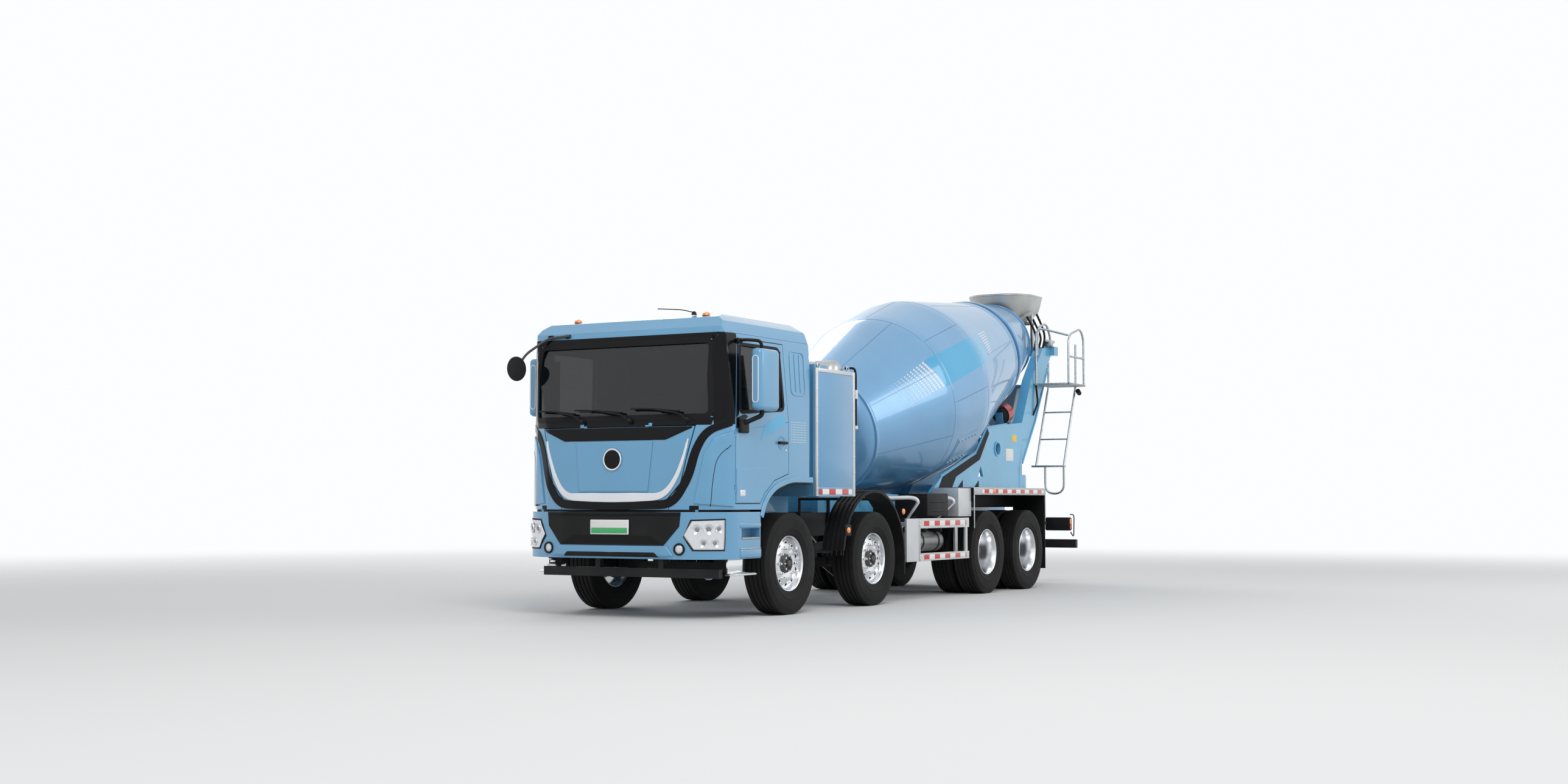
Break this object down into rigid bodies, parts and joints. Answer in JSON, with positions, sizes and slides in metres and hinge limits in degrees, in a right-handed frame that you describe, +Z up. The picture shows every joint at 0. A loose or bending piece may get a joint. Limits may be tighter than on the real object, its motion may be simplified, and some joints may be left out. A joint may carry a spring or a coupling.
{
  "type": "concrete mixer truck",
  "caption": "Battery-electric concrete mixer truck: tilting cab, battery cabinet, inclined drum on rollers, hopper, funnel and folding chute on a four-axle chassis.",
  "frame": {"origin": "on the ground under the middle of the truck's overall box", "axes": "+Y towards the rear, +X towards the truck's left, +Z up"},
  "size_m": [2.906, 10.8016, 4.23],
  "materials": {
    "cab_paint": "metallic gloss",
    "frame_paint": "gloss",
    "drum_paint": "high gloss",
    "chassis_black": "satin",
    "tyre_rubber": "matt",
    "alloy": "polished",
    "galvanised": "galvanised",
    "stainless": "brushed",
    "black_plastic": "matt",
    "interior_trim": "grained",
    "glass": "clear"
  },
  "bodies": {
    "chassis": {"chassis_frame": "chassis_black", "axle_1": "chassis_black", "axle_2": "chassis_black", "axle_3": "chassis_black", "axle_4": "chassis_black", "rear_springs": "chassis_black", "driveline": "chassis_black", "mixer_subframe": "frame_paint", "air_tanks": "galvanised", "side_guard_left": "galvanised", "side_guard_right": "galvanised", "mid_fender_left": "black_plastic", "mid_fender_right": "black_plastic", "rear_fender_left": "black_plastic", "rear_fender_right": "black_plastic", "battery_cabinet": "cab_paint", "water_tank": "stainless", "drum_drive": "frame_paint", "rear_frame": "frame_paint", "hopper": "stainless", "discharge_funnel": "stainless", "ladder_platform": "galvanised"},
    "cab": {"cab_shell": "cab_paint", "windscreen": "glass", "cab_interior": "interior_trim", "bumper": "cab_paint", "front_mirror": "black_plastic"},
    "left_door": {"door_left": "cab_paint", "door_glass_left": "glass", "mirror_left": "black_plastic"},
    "right_door": {"door_right": "cab_paint", "door_glass_right": "glass", "mirror_right": "black_plastic"},
    "flap": {"front_flap": "cab_paint"},
    "mixing_drum": {"drum": "drum_paint"},
    "left_roller": {"roller_left": "chassis_black"},
    "right_roller": {"roller_right": "chassis_black"},
    "chute_swivel": {"chute_bracket": "frame_paint"},
    "chute_trough": {"chute_main": "frame_paint"},
    "chute_tip": {"chute_extension": "frame_paint"},
    "steer_1_left": {"knuckle_1_left": "chassis_black"},
    "steer_2_left": {"knuckle_2_left": "chassis_black"},
    "road_wheel_1_left": {"tyre_1_left": "tyre_rubber", "wheel_1_left": "alloy"},
    "road_wheel_2_left": {"tyre_2_left": "tyre_rubber", "wheel_2_left": "alloy"},
    "road_wheel_3_left": {"tyre_3_left": "tyre_rubber", "wheel_3_left": "alloy"},
    "road_wheel_4_left": {"tyre_4_left": "tyre_rubber", "wheel_4_left": "alloy"},
    "steer_1_right": {"knuckle_1_right": "chassis_black"},
    "steer_2_right": {"knuckle_2_right": "chassis_black"},
    "road_wheel_1_right": {"tyre_1_right": "tyre_rubber", "wheel_1_right": "alloy"},
    "road_wheel_2_right": {"tyre_2_right": "tyre_rubber", "wheel_2_right": "alloy"},
    "road_wheel_3_right": {"tyre_3_right": "tyre_rubber", "wheel_3_right": "alloy"},
    "road_wheel_4_right": {"tyre_4_right": "tyre_rubber", "wheel_4_right": "alloy"}
  },
  "joints": [
    {"name": "steering_1_left", "type": "hinge", "parent": "chassis", "child": "steer_1_left", "pos_m": [0.9075, -3.85922, 0.531], "axis": [0, 0, 1], "range_deg": [-36, 36]},
    {"name": "steering_2_left", "type": "hinge", "parent": "chassis", "child": "steer_2_left", "pos_m": [0.9075, -1.92922, 0.531], "axis": [0, 0, 1], "range_deg": [-26, 26]},
    {"name": "wheel_1_left_spin", "type": "hinge", "parent": "steer_1_left", "child": "road_wheel_1_left", "pos_m": [1.0975, -3.85922, 0.531], "axis": [1, 0, 0], "continuous": true},
    {"name": "wheel_2_left_spin", "type": "hinge", "parent": "steer_2_left", "child": "road_wheel_2_left", "pos_m": [1.0975, -1.92922, 0.531], "axis": [1, 0, 0], "continuous": true},
    {"name": "wheel_3_left_spin", "type": "hinge", "parent": "chassis", "child": "road_wheel_3_left", "pos_m": [0.945, 1.29078, 0.531], "axis": [1, 0, 0], "continuous": true},
    {"name": "wheel_4_left_spin", "type": "hinge", "parent": "chassis", "child": "road_wheel_4_left", "pos_m": [0.945, 2.64078, 0.531], "axis": [1, 0, 0], "continuous": true},
    {"name": "steering_1_right", "type": "hinge", "parent": "chassis", "child": "steer_1_right", "pos_m": [-0.9075, -3.85922, 0.531], "axis": [0, 0, 1], "range_deg": [-36, 36]},
    {"name": "steering_2_right", "type": "hinge", "parent": "chassis", "child": "steer_2_right", "pos_m": [-0.9075, -1.92922, 0.531], "axis": [0, 0, 1], "range_deg": [-26, 26]},
    {"name": "wheel_1_right_spin", "type": "hinge", "parent": "steer_1_right", "child": "road_wheel_1_right", "pos_m": [-1.0975, -3.85922, 0.531], "axis": [1, 0, 0], "continuous": true},
    {"name": "wheel_2_right_spin", "type": "hinge", "parent": "steer_2_right", "child": "road_wheel_2_right", "pos_m": [-1.0975, -1.92922, 0.531], "axis": [1, 0, 0], "continuous": true},
    {"name": "wheel_3_right_spin", "type": "hinge", "parent": "chassis", "child": "road_wheel_3_right", "pos_m": [-0.945, 1.29078, 0.531], "axis": [1, 0, 0], "continuous": true},
    {"name": "wheel_4_right_spin", "type": "hinge", "parent": "chassis", "child": "road_wheel_4_right", "pos_m": [-0.945, 2.64078, 0.531], "axis": [1, 0, 0], "continuous": true},
    {"name": "cab_tilt", "type": "hinge", "parent": "chassis", "child": "cab", "pos_m": [0, -5.10922, 0.7], "axis": [1, 0, 0], "range_deg": [0, 45]},
    {"name": "left_door_swing", "type": "hinge", "parent": "cab", "child": "left_door", "pos_m": [1.221, -4.96022, 1.575], "axis": [0, 0, -1], "range_deg": [0, 70]},
    {"name": "right_door_swing", "type": "hinge", "parent": "cab", "child": "right_door", "pos_m": [-1.221, -4.96022, 1.575], "axis": [0, 0, 1], "range_deg": [0, 70]},
    {"name": "flap_lift", "type": "hinge", "parent": "cab", "child": "flap", "pos_m": [0, -5.28422, 1.935], "axis": [-1, 0, 0], "range_deg": [0, 75]},
    {"name": "drum_spin", "type": "hinge", "parent": "chassis", "child": "mixing_drum", "pos_m": [0, -3.85922, 1.194], "axis": [0, 0.963, 0.2694], "continuous": true},
    {"name": "left_roller_spin", "type": "hinge", "parent": "chassis", "child": "left_roller", "pos_m": [0.50316, 3.48697, 2.4131], "axis": [0, 0.963, 0.2694], "continuous": true},
    {"name": "right_roller_spin", "type": "hinge", "parent": "chassis", "child": "right_roller", "pos_m": [-0.50316, 3.48697, 2.4131], "axis": [0, 0.963, 0.2694], "continuous": true},
    {"name": "chute_swing", "type": "hinge", "parent": "chassis", "child": "chute_swivel", "pos_m": [0, 4.78078, 1.65], "axis": [0, 0, -1], "range_deg": [0, 120]},
    {"name": "chute_tilt", "type": "hinge", "parent": "chute_swivel", "child": "chute_trough", "pos_m": [0, 4.78078, 1.75], "axis": [0, -1, 0], "range_deg": [-12, 18]},
    {"name": "chute_unfold", "type": "hinge", "parent": "chute_trough", "child": "chute_tip", "pos_m": [-1.03375, 4.78078, 1.6664], "axis": [0, -1, 0], "range_deg": [0, 180]}
  ],
  "couplings": [
    {"joint": "steering_1_right", "follows": "steering_1_left", "ratio": 1},
    {"joint": "steering_2_left", "follows": "steering_1_left", "ratio": 0.7},
    {"joint": "steering_2_right", "follows": "steering_1_left", "ratio": 0.7},
    {"joint": "left_roller_spin", "follows": "drum_spin", "ratio": -6.592},
    {"joint": "right_roller_spin", "follows": "drum_spin", "ratio": -6.592}
  ]
}
